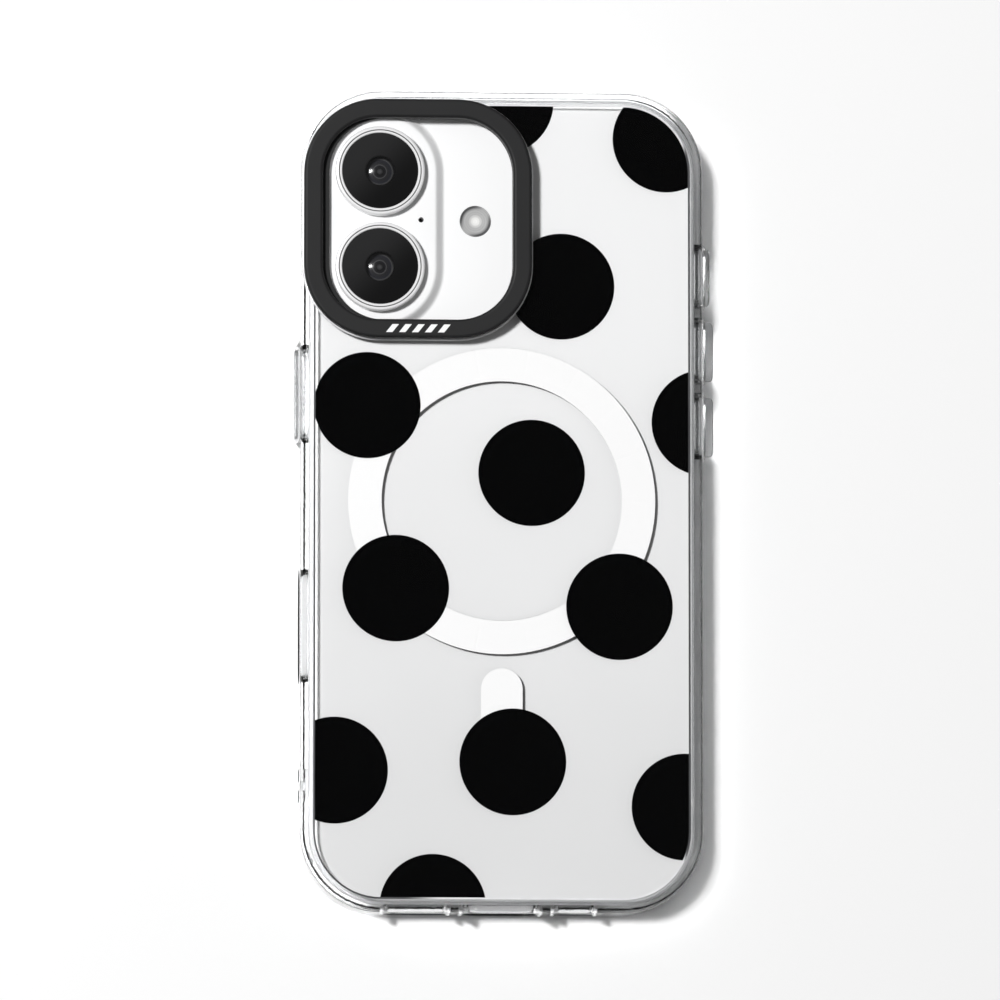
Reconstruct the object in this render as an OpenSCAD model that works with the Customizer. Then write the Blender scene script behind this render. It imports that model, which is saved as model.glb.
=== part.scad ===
// A clear magnetic phone case with a dot print, fitted on a phone.
// Millimetres. The back of the case faces +Z, the phone's top edge faces +Y,
// and the case's front lip stands on z = 0 with the screen facing down.

/* [Phone] */
// Width across the phone's side faces
phone_w = 71.5; // [70:0.1:86]
// Length from the phone's bottom edge to its top edge
phone_l = 149.6; // [142:0.1:180]
// Thickness from the screen glass to the back glass
phone_t = 7.95; // [7.4:0.05:9.6]
// Corner radius seen from the back
phone_corner_r = 13.4; // [12:0.1:16]
// Wall of the metal band round the phone
band_wall = 2; // [1.8:0.1:2.4]
// Thickness of the screen glass and of the back glass
glass_t = 0.8; // [0.6:0.05:0.9]
// Height of the glass above the rim of the band
glass_proud = 0.2; // [0.1:0.05:0.3]

/* [Case] */
// Wall of the soft bumper
wall = 1.5; // [1.2:0.1:1.8]
// Gap between the phone and the case
fit_gap = 0.1; // [0.05:0.05:0.2]
// Height of the front lip below the screen
lip_h = 1.2; // [0.8:0.1:2]
// Width by which the front lip covers the screen's edge
lip_w = 1; // [0.6:0.1:1.4]
// Radius along the bumper's outer edges
bumper_edge_r = 1.3; // [0.8:0.1:1.4]
// Height of the bumper's rim above the back face
rim_h = 0.2; // [0.1:0.05:0.5]
// Thickness of the hard back panel, without the sheet over the print
panel_t = 1.6; // [1.5:0.1:2.2]
// Thickness of the clear sheet over the print
sheet_t = 0.5; // [0.3:0.1:0.8]
// Distance of the panel's visible edge inside the phone's side face
panel_inset = 0.8; // [0.7:0.1:1.6]
// Distance of the panel's locking flange inside the phone's side face
flange_inset = 0.3; // [0.2:0.05:0.5]
// Thickness of the locking flange
flange_t = 1; // [0.8:0.1:1.2]

/* [Print] */
// Diameter of a printed dot
dot_d = 19.8; // [12:0.2:24]
// Thickness of the print
print_t = 0.06; // [0.04:0.01:0.1]

/* [Magnet ring] */
// Outer diameter of the white ring
ring_d_out = 57; // [54:0.2:58]
// Inner diameter of the white ring
ring_d_in = 44.6; // [43:0.2:46]
// Thickness of the white ring cover
ring_cover_t = 0.25; // [0.2:0.05:0.3]
// Thickness of the magnets
magnet_t = 0.6; // [0.4:0.05:0.6]
// Thickness of the steel backing
backing_t = 0.15; // [0.1:0.05:0.15]
// Number of magnets in the ring
magnet_count = 18; // [12:1:36]
// Margin of the white cover round the magnets
magnet_margin = 0.8; // [0.5:0.1:1.2]
// Width of the white alignment bar
bar_w = 7.7; // [6:0.1:9]
// Length of the white alignment bar
bar_l = 20.3; // [16:0.1:24]
// Gap between the ring and the alignment bar
bar_gap = 2.6; // [1:0.2:4]

/* [Camera] */
// Distance of the lens column from the phone's side face
lens_in_x = 13; // [12.6:0.1:14]
// Distance of the upper lens from the phone's top edge
lens_in_y = 13.6; // [12.8:0.1:14]
// Gap between the two lens rings
lens_ring_gap = 1.25; // [0.8:0.05:2.6]
// Width of the plateau round the lens rings, at its foot
plateau_margin = 3.9; // [3:0.1:4]
// Height of the plateau
plateau_h = 1.6; // [1.2:0.1:2]
// Radius of a lens cover glass
lens_glass_r = 7.05; // [6.4:0.05:7.2]
// Wall of a lens ring
lens_ring_wall = 1.25; // [1:0.05:1.4]
// Height of a lens ring above the plateau
lens_ring_h = 1.9; // [1.6:0.1:2.2]
// Distance of the flash from the lens column
flash_x = 17.9; // [16:0.1:18]
// Radius of the flash window
flash_r = 2.9; // [2:0.05:3.2]

/* [Camera bezel] */
// Width of the bezel's band
bezel_band = 3.5; // [2.8:0.1:3.6]
// Gap between the lens rings and the bezel's opening, across the phone
lens_gap_x = 2.3; // [2:0.05:2.4]
// Gap between the lens rings and the bezel's opening, along the phone
lens_gap_y = 1.6; // [1.4:0.05:1.8]
// Gap between the flash window and the bezel's opening
flash_gap = 3.9; // [3:0.1:5]
// Outer corner radius of the bezel
bezel_r = 13.8; // [12.5:0.1:14]
// Width of the panel's ledge that the bezel is bonded to
bezel_seat = 0.7; // [0.5:0.05:0.8]
// Height of the bezel above the lens rings
bezel_guard = 0.7; // [0.4:0.1:1.5]
// Width of the sill inside the bezel, beside the lenses
sill_w = 1.2; // [0.6:0.1:1.4]

/* [Buttons] */
// Distance of the action button's centre from the phone's top edge
action_y = 32.3; // [31.4:0.1:40]
// Gap between neighbouring button covers
cover_gap = 3; // [2.2:0.1:6]
// Distance of the side button's centre from the phone's top edge
side_y = 54.8; // [46:0.1:66]
// Distance of the camera control's centre from the phone's top edge
control_y = 98; // [86:0.1:106]
// Length of the action button
action_l = 8.3; // [6:0.1:10]
// Length of each volume button
volume_l = 8.7; // [7:0.1:11]
// Length of the side button
side_l = 14.6; // [12:0.1:18]
// Length of the camera control
control_l = 17.6; // [13:0.1:20]
// Height of a phone button
button_h = 2.6; // [2:0.1:2.8]
// Height by which a phone button stands out of the band
button_out = 0.3; // [0.2:0.05:0.3]
// Travel of a button
button_travel = 0.25; // [0.15:0.05:0.25]
// Length of a button cover beyond each end of its button
cover_margin_l = 1.2; // [0.6:0.1:1.6]
// Height of a button cover beyond each side of its button
cover_margin_h = 0.5; // [0.2:0.05:0.6]
// Height by which the action button's cover stands out of the bumper
action_cover_out = 1.7; // [0.8:0.1:2.4]
// Height by which the volume buttons' covers stand out of the bumper
volume_cover_out = 2.3; // [0.8:0.1:2.4]
// Height by which the side button's cover stands out of the bumper
side_cover_out = 1; // [0.8:0.1:2.4]

/* [Openings] */
// Length of the charging port
port_l = 9; // [8.6:0.1:9.4]
// Height of the charging port
port_t = 3.3; // [3:0.1:3.4]
// Length of the case's opening beyond each end of the port
port_margin_l = 2.6; // [2.2:0.1:3]
// Height of the case's opening beyond each side of the port
port_margin_h = 1.45; // [1:0.05:1.5]
// Number of sound holes left of the port
long_row = 5; // [3:1:6]
// Number of sound holes right of the port
short_row = 3; // [2:1:6]
// Diameter of a sound hole
sound_hole_d = 1.6; // [1.2:0.1:1.8]
// Distance between neighbouring sound holes
sound_hole_pitch = 2.2; // [2:0.1:2.4]
// Gap between the case's opening for the port and each sound slot
slot_gap = 2.8; // [1.4:0.1:4]
// Size of a sound slot beyond the holes
slot_margin = 0.7; // [0.4:0.1:0.9]
// Size of the case's opening beyond the camera control
control_margin = 1.8; // [1.2:0.1:1.8]
// Distance of the strap holes' middle from the phone's bottom edge
strap_y = 22; // [18:0.1:24]
// Width of a strap hole
strap_hole_w = 2.2; // [1.8:0.1:2.4]
// Height of a strap hole
strap_hole_h = 3.6; // [3:0.1:4]
// Width of the bridge between the two strap holes
strap_bridge = 1.6; // [1.2:0.1:2]

/* [Hidden] */
$fn = 96;
skin = 0.02;                // gap between pieces that lie against each other
slack = 0.15;               // gap round a piece that moves
lip_gap = 0.05;             // gap between the front lip and the screen
button_gap = 0.05;          // gap round a phone button in its slot
band_rim = 0.7;             // width of the band's rim beside each glass
band_chamfer = 0.4;         // chamfer along the band's edges
deep = 40;                  // longer than any cut needs

z_screen = lip_h;
z_back = z_screen + phone_t;
z_mid = z_screen + phone_t / 2;
z_panel = z_back + fit_gap;
z_flange = z_panel + flange_t;
z_print = z_panel + panel_t;
z_face = z_print + sheet_t;
z_rim = z_face + rim_h;
z_plateau = z_back + plateau_h;
z_lens = z_plateau + lens_ring_h;
z_bezel = z_lens + bezel_guard;

outer_u = fit_gap + wall;
cut_u = outer_u + 1;         // reach of the cuts through the bumper's wall
cover_inner_u = button_out + skin;
cover_flange_u = button_out + button_travel;
cover_flange_t = 0.4;
cover_flange_w = 0.6;
pocket_u = cover_flange_u + cover_flange_t + skin;

button_flange_w = 0.35;
button_flange_t = 0.4;
button_flange_u = -band_wall - skin;
switch_t = 0.5;
switch_u = button_flange_u - button_flange_t - button_travel - button_gap;

action_cover_l = action_l + 2 * cover_margin_l;
volume_cover_l = volume_l + 2 * cover_margin_l;
side_cover_l = side_l + 2 * cover_margin_l;
cover_h = button_h + 2 * cover_margin_h;
volume_up_y = action_y + (action_cover_l + volume_cover_l) / 2 + cover_gap;
volume_down_y = volume_up_y + volume_cover_l + cover_gap;

port_w = port_l + 2 * port_margin_l;
long_slot_w = row_length(long_row) + 2 * slot_margin;
short_slot_w = row_length(short_row) + 2 * slot_margin;
slot_h = sound_hole_d + 2 * slot_margin;
long_slot_x = -(port_w / 2 + slot_gap + long_slot_w / 2);
short_slot_x = port_w / 2 + slot_gap + short_slot_w / 2;
screw_r = 0.75;
screw_x = port_l / 2 + 0.7 + screw_r;
port_depth = 7.3;

lens_ring_r = lens_glass_r + lens_ring_wall;
lens_ledge_r = lens_glass_r - 0.4;
lens_pitch = 2 * lens_ring_r + lens_ring_gap;
lens_x = -(phone_w / 2 - lens_in_x);
lens_top_y = phone_l / 2 - lens_in_y;
lens_low_y = lens_top_y - lens_pitch;
lens_mid_y = (lens_top_y + lens_low_y) / 2;
lens_glass_t = 0.9;
lens_glass_drop = 0.2;
plateau_r = lens_ring_r + plateau_margin;

module_gap = 1.6;           // gap between the two camera modules
module_body = lens_pitch - module_gap;
module_hole_r = lens_ledge_r - 0.1;
module_sleeve_r = module_hole_r - 0.3;
module_sleeve_wall = 1.4;
module_floor_t = 1.4;
lens_stack_r = module_sleeve_r - module_sleeve_wall - slack;
mic_x = lens_x + lens_ring_r - 0.6;
mic_r = 0.5;

bezel_opening_w = lens_gap_x + lens_ring_r + flash_x + flash_r + flash_gap;
bezel_opening_l = lens_pitch + 2 * (lens_ring_r + lens_gap_y);
bezel_w = bezel_opening_w + 2 * bezel_band;
bezel_l = bezel_opening_l + 2 * bezel_band;
bezel_x = lens_x - lens_ring_r - lens_gap_x + bezel_opening_w / 2;
bezel_y = lens_mid_y;
bar_y = -(ring_d_out / 2 + bar_gap + bar_l / 2);
z_ring_cover = z_panel + backing_t + magnet_t + 2 * skin;
pocket_t = z_ring_cover + ring_cover_t + skin - z_panel;
mark_t = 0.05;

display_t = 0.9;
midplate_t = 0.4;
bay_inset = band_wall + 0.3;
z_display = z_screen + glass_t + skin;
z_midplate = z_display + display_t + skin;
z_bay = z_midplate + midplate_t + skin;
z_module_top = z_back - glass_t - skin;
coil_t = 0.35;
z_coil = z_module_top - 0.2 - 1.5 * coil_t;
z_bay_top = z_coil - 0.1;
front_camera_y = phone_l / 2 - 8.2;
front_camera_r = 2.1;
antenna_w = 1.5;
antenna_y = phone_l / 2 - 19;

// The bay inside the band: the battery on the -X side, the logic board beside it on the +X side
piece_gap = 1;
bay_x = phone_w / 2 + switch_u - switch_t - 0.4;
bottom_row = 19.8;          // depth of the row of small pieces along the bottom edge
board_w = 21;
board_x = bay_x - board_w / 2;
board_low_y = -(phone_l / 2 - bottom_row);
board_l = phone_l / 2 - 14 - board_low_y;
shield_count = 3;
battery_w = 2 * bay_x - board_w - piece_gap;
battery_l = lens_low_y - module_body / 2 - piece_gap - board_low_y;

// Where the dots are printed, from the middle of the back
DOTS = [
  [-0.3, 74.5], [30.5, 67.7], [11, 40], [-25, 17.6], [37.7, 14.8], [5.5, 5.2],
  [-19.7, -16.4], [21.8, -19.6], [-31, -50.2], [2, -48.5], [33.9, -56.7], [-12.8, -75.5]
];

function row_length(n) = (n - 1) * sound_hole_pitch + sound_hole_d;
function from_top(y) = phone_l / 2 - y;

// ---- shapes that repeat ----

module rounded_rectangle(w, l, r) {
  square([w - 2 * r, l], center = true);
  square([w, l - 2 * r], center = true);
  for (sx = [-1, 1], sy = [-1, 1])
    translate([sx * (w / 2 - r), sy * (l / 2 - r)]) circle(r);
}

// A bar with round ends
module stadium(l, h) {
  square([l - h, h], center = true);
  for (s = [-1, 1]) translate([s * (l - h) / 2, 0]) circle(h / 2);
}

module slab(z0, z1) {
  translate([0, 0, z0]) linear_extrude(z1 - z0) children();
}

// A plate whose edge lies inset inside the phone's outline
module phone_plate(inset, z0, z1) {
  slab(z0, z1) rounded_rectangle(phone_w - 2 * inset, phone_l - 2 * inset, phone_corner_r - inset);
}

module bay_box(x, y, w, l, z0, z1, r = 1) {
  translate([x, y, 0]) slab(z0, z1) rounded_rectangle(w, l, r);
}

// Carries a profile round a rounded rectangle: its x is the distance outside the outline, its y is z
module carried_round(w, l, r) {
  for (a = [0, 180]) {
    rotate(a) translate([w / 2, 0, 0]) rotate([90, 0, 0])
      linear_extrude(l - 2 * r, center = true) children();
    rotate(a + 90) translate([l / 2, 0, 0]) rotate([90, 0, 0])
      linear_extrude(w - 2 * r, center = true) children();
  }
  for (k = [0 : 3])
    translate([(k == 0 || k == 3 ? 1 : -1) * (w / 2 - r), (k < 2 ? 1 : -1) * (l / 2 - r), 0])
      rotate(90 * k) rotate_extrude(angle = 90) translate([r, 0]) children();
}

// A shape in the side face's plane, drawn out from u0 to u1 outside it. side is 1 for +X and -1 for -X
module on_side(side, y, u0, u1) {
  mirror([side < 0 ? 1 : 0, 0, 0])
    translate([phone_w / 2 + u0, y, z_mid]) rotate([90, 0, 90]) linear_extrude(u1 - u0) children();
}

// The same in the bottom face's plane
module on_bottom(x, u0, u1) {
  translate([x, -(phone_l / 2 + u0), z_mid]) rotate([90, 0, 0]) linear_extrude(u1 - u0) children();
}

// A ring of flat arc magnets, each with a gap of 8% of its pitch
module magnet_arcs(z0, z1) {
  pitch = 360 / magnet_count;
  for (k = [0 : magnet_count - 1])
    rotate(k * pitch) rotate_extrude(angle = 0.92 * pitch)
      translate([ring_d_in / 2 + magnet_margin, z0])
        square([(ring_d_out - ring_d_in) / 2 - 2 * magnet_margin, z1 - z0]);
}

module annulus(r0, r1, z0, z1) {
  slab(z0, z1) difference() {
    circle(r1);
    circle(r0);
  }
}

// ---- the case ----

module bezel_outline(grow = 0) {
  translate([bezel_x, bezel_y])
    rounded_rectangle(bezel_w + 2 * grow, bezel_l + 2 * grow, bezel_r + grow);
}

module bezel_opening(grow = 0) {
  translate([bezel_x, bezel_y])
    rounded_rectangle(bezel_opening_w + 2 * grow, bezel_opening_l + 2 * grow,
                      bezel_r - bezel_band + grow);
}

module plateau_outline(grow = 0) {
  translate([lens_x, lens_mid_y]) rotate(90)
    stadium(lens_pitch + 2 * (plateau_r + grow), 2 * (plateau_r + grow));
}

module bumper_profile() {
  difference() {
    union() {
      translate([-3, 0]) square([3 + outer_u - bumper_edge_r, z_rim]);
      translate([-3, bumper_edge_r]) square([3 + outer_u, z_rim - 2 * bumper_edge_r]);
      for (z = [bumper_edge_r, z_rim - bumper_edge_r])
        translate([outer_u - bumper_edge_r, z]) circle(bumper_edge_r);
    }
    translate([-4, -1]) square([4 - lip_w, z_mid]);
    translate([-4, z_screen - lip_gap]) square([4 + fit_gap, z_panel - z_screen + lip_gap]);
    translate([-4, z_panel - 1]) square([4 - flange_inset + skin, 1 + flange_t + skin]);
    translate([-4, z_mid]) square([4 - panel_inset + skin, z_rim]);
  }
}

// The window and the inner pocket that hold a button cover
module cover_window(side, y, l) {
  on_side(side, y, -1, cut_u) stadium(l + 2 * slack, cover_h + 2 * slack);
  on_side(side, y, -1, pocket_u)
    stadium(l + 2 * (cover_flange_w + slack), cover_h + 2 * (cover_flange_w + slack));
}

// Two holes, joined behind the bridge by a relief that lets a strap pass
module strap_holes() {
  middle = -(phone_l / 2 - strap_y);
  for (s = [-1, 1])
    on_side(-1, middle + s * (strap_bridge + strap_hole_w) / 2, -1, cut_u)
      square([strap_hole_w, strap_hole_h], center = true);
  on_side(-1, middle, -1, fit_gap + wall / 2)
    square([strap_bridge + strap_hole_w, strap_hole_h], center = true);
}

module bumper() {
  color("gainsboro", 0.5) difference() {
    carried_round(phone_w, phone_l, phone_corner_r) bumper_profile();
    slab(z_flange, deep) bezel_outline(skin);
    cover_window(1, from_top(action_y), action_cover_l);
    cover_window(1, from_top(volume_up_y), volume_cover_l);
    cover_window(1, from_top(volume_down_y), volume_cover_l);
    cover_window(-1, from_top(side_y), side_cover_l);
    on_side(-1, from_top(control_y), -1, cut_u)
      stadium(control_l + 2 * control_margin, button_h + 2 * control_margin);
    on_bottom(0, -1, cut_u) stadium(port_w, port_t + 2 * port_margin_h);
    on_bottom(long_slot_x, -1, cut_u) stadium(long_slot_w, slot_h);
    on_bottom(short_slot_x, -1, cut_u) stadium(short_slot_w, slot_h);
    strap_holes();
  }
}

module bar_outline(grow = 0) {
  translate([0, bar_y]) rotate(90) stadium(bar_l + 2 * grow, bar_w + 2 * grow);
}

module back_panel() {
  color("whitesmoke", 0.4) difference() {
    union() {
      phone_plate(flange_inset, z_panel, z_flange);
      phone_plate(panel_inset, z_flange - skin, z_print);
    }
    slab(z_panel - 1, z_flange + skin) bezel_outline(-bezel_seat);
    slab(z_flange - skin, deep) bezel_outline(skin);
    annulus(ring_d_in / 2 - skin, ring_d_out / 2 + skin, z_panel - 1, z_panel + pocket_t);
    slab(z_panel - 1, z_panel + pocket_t) bar_outline(skin);
    slab(z_print - print_t, deep) dots(skin);
  }
}

module face_sheet() {
  color("whitesmoke", 0.3) difference() {
    phone_plate(panel_inset, z_print + skin, z_face);
    slab(z_print - 1, deep) bezel_outline(skin);
  }
}

// The dots, cut off at the panel's edge and round the bezel
module dots(grow = 0) {
  difference() {
    intersection() {
      rounded_rectangle(phone_w - 2 * panel_inset, phone_l - 2 * panel_inset,
                        phone_corner_r - panel_inset);
      union() for (p = DOTS) translate(p) circle(dot_d / 2 + grow);
    }
    bezel_outline(skin);
  }
}

module dot_print() {
  color("black") slab(z_print - print_t, z_print) dots();
}

module ring_backing() {
  color("silver") annulus(ring_d_in / 2 + magnet_margin, ring_d_out / 2 - magnet_margin,
                          z_panel, z_panel + backing_t);
}

module ring_magnets() {
  color("gray") magnet_arcs(z_panel + backing_t + skin, z_panel + backing_t + skin + magnet_t);
}

module ring_cover() {
  color("white") annulus(ring_d_in / 2, ring_d_out / 2, z_ring_cover, z_ring_cover + ring_cover_t);
}

module bar_magnet() {
  color("gray") slab(z_panel + backing_t + skin, z_panel + backing_t + skin + magnet_t)
    translate([0, bar_y]) square([bar_w - 2 * magnet_margin, bar_l - bar_w], center = true);
}

module bar_cover() {
  color("white") slab(z_ring_cover, z_ring_cover + ring_cover_t) bar_outline();
}

module bezel_profile() {
  fillet = 0.6;
  translate([-bezel_band, z_flange + skin])
    square([bezel_band, z_bezel - z_flange - skin - fillet]);
  translate([-bezel_band + fillet, z_bezel - fillet])
    square([bezel_band - 2 * fillet, fillet]);
  for (u = [-bezel_band + fillet, -fillet]) translate([u, z_bezel - fillet]) circle(fillet);
}

module marks(z0, z1) {
  mark_w = 1.2;
  mark_h = 1.5;
  mark_pitch = 2.4;
  for (k = [-2 : 2])
    slab(z0, z1)
      translate([bezel_x + k * mark_pitch, bezel_y - (bezel_l - bezel_band) / 2])
        polygon([[-mark_w, -mark_h / 2], [0, -mark_h / 2], [mark_w, mark_h / 2], [0, mark_h / 2]]);
}

// A ring with rounded edges. On the lens side a sill stands over the plateau's foot
module camera_bezel() {
  z_sill = z_plateau + 2 * slack;
  sill_t = 0.7;
  color("dimgray") difference() {
    union() {
      translate([bezel_x, bezel_y, 0]) carried_round(bezel_w, bezel_l, bezel_r) bezel_profile();
      slab(z_sill, z_sill + sill_t) difference() {
        bezel_opening(bezel_band / 2);
        translate([sill_w, 0]) bezel_opening();
        translate([bezel_x, bezel_y - bezel_l / 2]) square([bezel_w, bezel_l]);
      }
    }
    slab(z_back, z_sill) plateau_outline(2 * slack);
    marks(z_bezel - mark_t, z_bezel + 1);
  }
}

module bezel_marks() {
  color("white") marks(z_bezel - mark_t, z_bezel);
}

module button_cover(side, y, l, out) {
  cap_edge = 0.35;
  u1 = outer_u + out;
  color("gainsboro", 0.6) {
    on_side(side, y, cover_inner_u, u1 - cap_edge) stadium(l, cover_h);
    on_side(side, y, u1 - cap_edge, u1) stadium(l - 2 * cap_edge, cover_h - 2 * cap_edge);
    on_side(side, y, cover_flange_u, cover_flange_u + cover_flange_t)
      stadium(l + 2 * cover_flange_w, cover_h + 2 * cover_flange_w);
  }
}

module action_cover() button_cover(1, from_top(action_y), action_cover_l, action_cover_out);
module volume_up_cover()
  button_cover(1, from_top(volume_up_y), volume_cover_l, volume_cover_out);
module volume_down_cover()
  button_cover(1, from_top(volume_down_y), volume_cover_l, volume_cover_out);
module side_cover() button_cover(-1, from_top(side_y), side_cover_l, side_cover_out);

// ---- the phone's body ----

module band_profile() {
  polygon([
    [-band_rim, z_screen + glass_proud], [-band_chamfer, z_screen + glass_proud],
    [0, z_screen + glass_proud + band_chamfer], [0, z_back - glass_proud - band_chamfer],
    [-band_chamfer, z_back - glass_proud], [-band_rim, z_back - glass_proud],
    [-band_rim, z_back - glass_t - skin], [-band_wall, z_back - glass_t - skin],
    [-band_wall, z_screen + glass_t + skin], [-band_rim, z_screen + glass_t + skin]
  ]);
}

module sound_holes(x, n) {
  for (k = [0 : n - 1])
    on_bottom(x + (k - (n - 1) / 2) * sound_hole_pitch, -band_wall - 1, 1)
      circle(sound_hole_d / 2);
}

// The four cuts across the band
module antenna_cuts(shrink = 0) {
  for (sx = [-1, 1], sy = [-1, 1])
    translate([sx * phone_w / 2, sy * antenna_y, z_mid])
      cube([4 * band_wall, antenna_w - 2 * shrink, deep], center = true);
}

module button_slot(side, y, l) {
  on_side(side, y, -band_wall - 1, 1) stadium(l + 2 * button_gap, button_h + 2 * button_gap);
}

module phone_band() {
  color("silver") difference() {
    carried_round(phone_w, phone_l, phone_corner_r) band_profile();
    antenna_cuts();
    button_slot(1, from_top(action_y), action_l);
    button_slot(1, from_top(volume_up_y), volume_l);
    button_slot(1, from_top(volume_down_y), volume_l);
    button_slot(-1, from_top(side_y), side_l);
    button_slot(-1, from_top(control_y), control_l);
    on_bottom(0, -band_wall - 1, 1) stadium(port_l + 2 * skin, port_t + 2 * skin);
    sound_holes(long_slot_x, long_row);
    sound_holes(short_slot_x, short_row);
    for (s = [-1, 1]) on_bottom(s * screw_x, -band_wall - 1, 1) circle(screw_r + skin);
  }
}

module antenna_inserts() {
  color("whitesmoke") intersection() {
    carried_round(phone_w, phone_l, phone_corner_r) band_profile();
    antenna_cuts(skin);
  }
}

module glass_inlay(z0, z1) phone_plate(band_rim + skin, z0, z1);

module screen_glass() {
  color("black") difference() {
    glass_inlay(z_screen, z_screen + glass_t);
    translate([0, phone_l / 2 - 1.6, 0]) slab(0, z_mid) stadium(11, 0.7);
  }
}

// A plate over the whole bay, with notches for the front camera and the earpiece
module bay_plate(z0, z1) {
  difference() {
    phone_plate(bay_inset, z0, z1);
    translate([0, front_camera_y, 0]) cylinder(h = deep, r = front_camera_r + slack, center = true);
    translate([0, phone_l / 2 - 2, 0]) cube([12, 3, deep], center = true);
  }
}

module display_panel() {
  color("midnightblue") bay_plate(z_display, z_display + display_t);
}

module midplate() {
  color("darkgray") bay_plate(z_midplate, z_midplate + midplate_t);
}

module at_lenses() {
  for (y = [lens_top_y, lens_low_y]) translate([lens_x, y, 0]) children();
}

module back_glass() {
  color("whitesmoke") difference() {
    glass_inlay(z_back - glass_t, z_back);
    at_lenses() cylinder(h = deep, r = module_hole_r);
    translate([mic_x, lens_mid_y, 0]) cylinder(h = deep, r = mic_r);
    translate([lens_x + flash_x, lens_mid_y, 0]) cylinder(h = deep, r = flash_r + skin);
  }
}

// The plateau's edge rises in a smooth step
module plateau_profile() {
  step_w = 2;
  steps = 10;
  polygon(concat(
    [[0, 0]],
    [for (k = [0 : steps])
      [plateau_r - step_w * k / steps, plateau_h * (1 - cos(180 * k / steps)) / 2]],
    [[0, plateau_h]]
  ));
}

module camera_plateau() {
  color("whitesmoke") difference() {
    translate([0, 0, z_back]) {
      translate([lens_x, lens_top_y, 0]) rotate_extrude(angle = 180) plateau_profile();
      translate([lens_x, lens_low_y, 0]) rotate(180) rotate_extrude(angle = 180) plateau_profile();
      for (a = [0, 180]) translate([lens_x, lens_mid_y, 0]) rotate(a) rotate([90, 0, 0])
        linear_extrude(lens_pitch, center = true) plateau_profile();
    }
    at_lenses() cylinder(h = deep, r = module_hole_r);
    translate([mic_x, lens_mid_y, 0]) cylinder(h = deep, r = mic_r);
  }
}

// ---- the cameras ----

module lens_ring(y) {
  edge = 0.25;
  z_ledge = z_lens - lens_glass_drop - lens_glass_t - skin;
  color("silver") translate([lens_x, y, 0]) rotate_extrude() polygon([
    [lens_ledge_r, z_plateau + skin], [lens_ring_r, z_plateau + skin], [lens_ring_r, z_lens - edge],
    [lens_ring_r - edge, z_lens], [lens_glass_r + skin, z_lens], [lens_glass_r + skin, z_ledge],
    [lens_ledge_r, z_ledge]
  ]);
}

module lens_glass(y) {
  z1 = z_lens - lens_glass_drop;
  color("black", 0.6) translate([lens_x, y, z1 - lens_glass_t])
    cylinder(h = lens_glass_t, r = lens_glass_r);
}

module camera_module(y) {
  color("dimgray") difference() {
    union() {
      bay_box(lens_x, y, module_body, module_body, z_bay, z_module_top);
      translate([lens_x, y, z_bay]) cylinder(h = z_plateau - 0.3 - z_bay, r = module_sleeve_r);
    }
    translate([lens_x, y, z_bay + module_floor_t])
      cylinder(h = deep, r = module_sleeve_r - module_sleeve_wall);
  }
}

// The moulded lens barrel, stepped down to the front element, which is domed
module lens_stack(y) {
  z0 = z_bay + module_floor_t + skin;
  z1 = z_plateau - 0.9;
  step = 0.5;
  r = lens_stack_r;
  dome_r = 4;
  color("black") translate([lens_x, y, 0]) {
    rotate_extrude() polygon([
      [0, z0], [r, z0], [r, z1], [r - step, z1], [r - 2 * step, z1 - step],
      [r - 3 * step, z1 - step], [r - 4 * step, z1 - 2 * step], [0, z1 - 2 * step]
    ]);
    intersection() {
      translate([0, 0, z1 - step - dome_r]) sphere(dome_r);
      translate([0, 0, z1 - 3 * step]) cylinder(h = 3 * step, r = r - 4.5 * step);
    }
  }
}

module lens_ring_upper() lens_ring(lens_top_y);
module lens_ring_lower() lens_ring(lens_low_y);
module lens_glass_upper() lens_glass(lens_top_y);
module lens_glass_lower() lens_glass(lens_low_y);
module lens_stack_upper() lens_stack(lens_top_y);
module lens_stack_lower() lens_stack(lens_low_y);
module camera_module_upper() camera_module(lens_top_y);
module camera_module_lower() camera_module(lens_low_y);

module flash_window() {
  color("lightyellow") translate([lens_x + flash_x, lens_mid_y, z_back - glass_t + skin])
    cylinder(h = glass_t - 0.1, r = flash_r);
}

module flash_led() {
  color("khaki")
    bay_box(lens_x + flash_x, lens_mid_y, 3.4, 3.4, z_back - glass_t - 0.7, z_back - glass_t - skin, 0.5);
}

module rear_mic_mesh() {
  color("black") translate([mic_x, lens_mid_y, z_module_top - 0.3])
    cylinder(h = 0.3, r = module_gap / 2 - skin);
}

module front_camera() {
  color("black") {
    translate([0, front_camera_y, z_display]) cylinder(h = z_bay - z_display + 0.1, r = front_camera_r);
    bay_box(0, front_camera_y, 7, 6.4, z_bay, z_bay + 2);
  }
}

module earpiece_mesh() {
  color("dimgray")
    translate([0, phone_l / 2 - 1.6, 0]) slab(z_screen + 0.25, z_screen + glass_t - skin)
      stadium(11 - 2 * skin, 0.7 - 2 * skin);
}

module earpiece_speaker() {
  color("dimgray") bay_box(14, front_camera_y + 0.4, 15, 6, z_bay, z_bay + 2.4);
}

// ---- inside the phone ----

module battery() {
  color("darkslategray")
    bay_box(-bay_x + battery_w / 2, board_low_y + battery_l / 2, battery_w, battery_l,
            z_bay, z_bay_top, 2);
}

module logic_board() {
  color("darkgreen")
    bay_box(board_x, board_low_y + board_l / 2, board_w, board_l, z_bay + 0.6, z_bay + 1.4);
}

module board_shields() {
  pitch = board_l / shield_count;
  color("silver") for (k = [0 : shield_count - 1])
    bay_box(board_x, board_low_y + (k + 0.5) * pitch, board_w - 3, pitch - 3,
            z_bay + 1.4 + skin, z_bay + 3.2);
}

// The small pieces along the bottom edge lie either side of the port
module bottom_piece(side, w, l, h) {
  bay_box(side * (bay_x - w / 2), board_low_y - piece_gap - l / 2, w, l, z_bay, z_bay + h);
}

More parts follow.
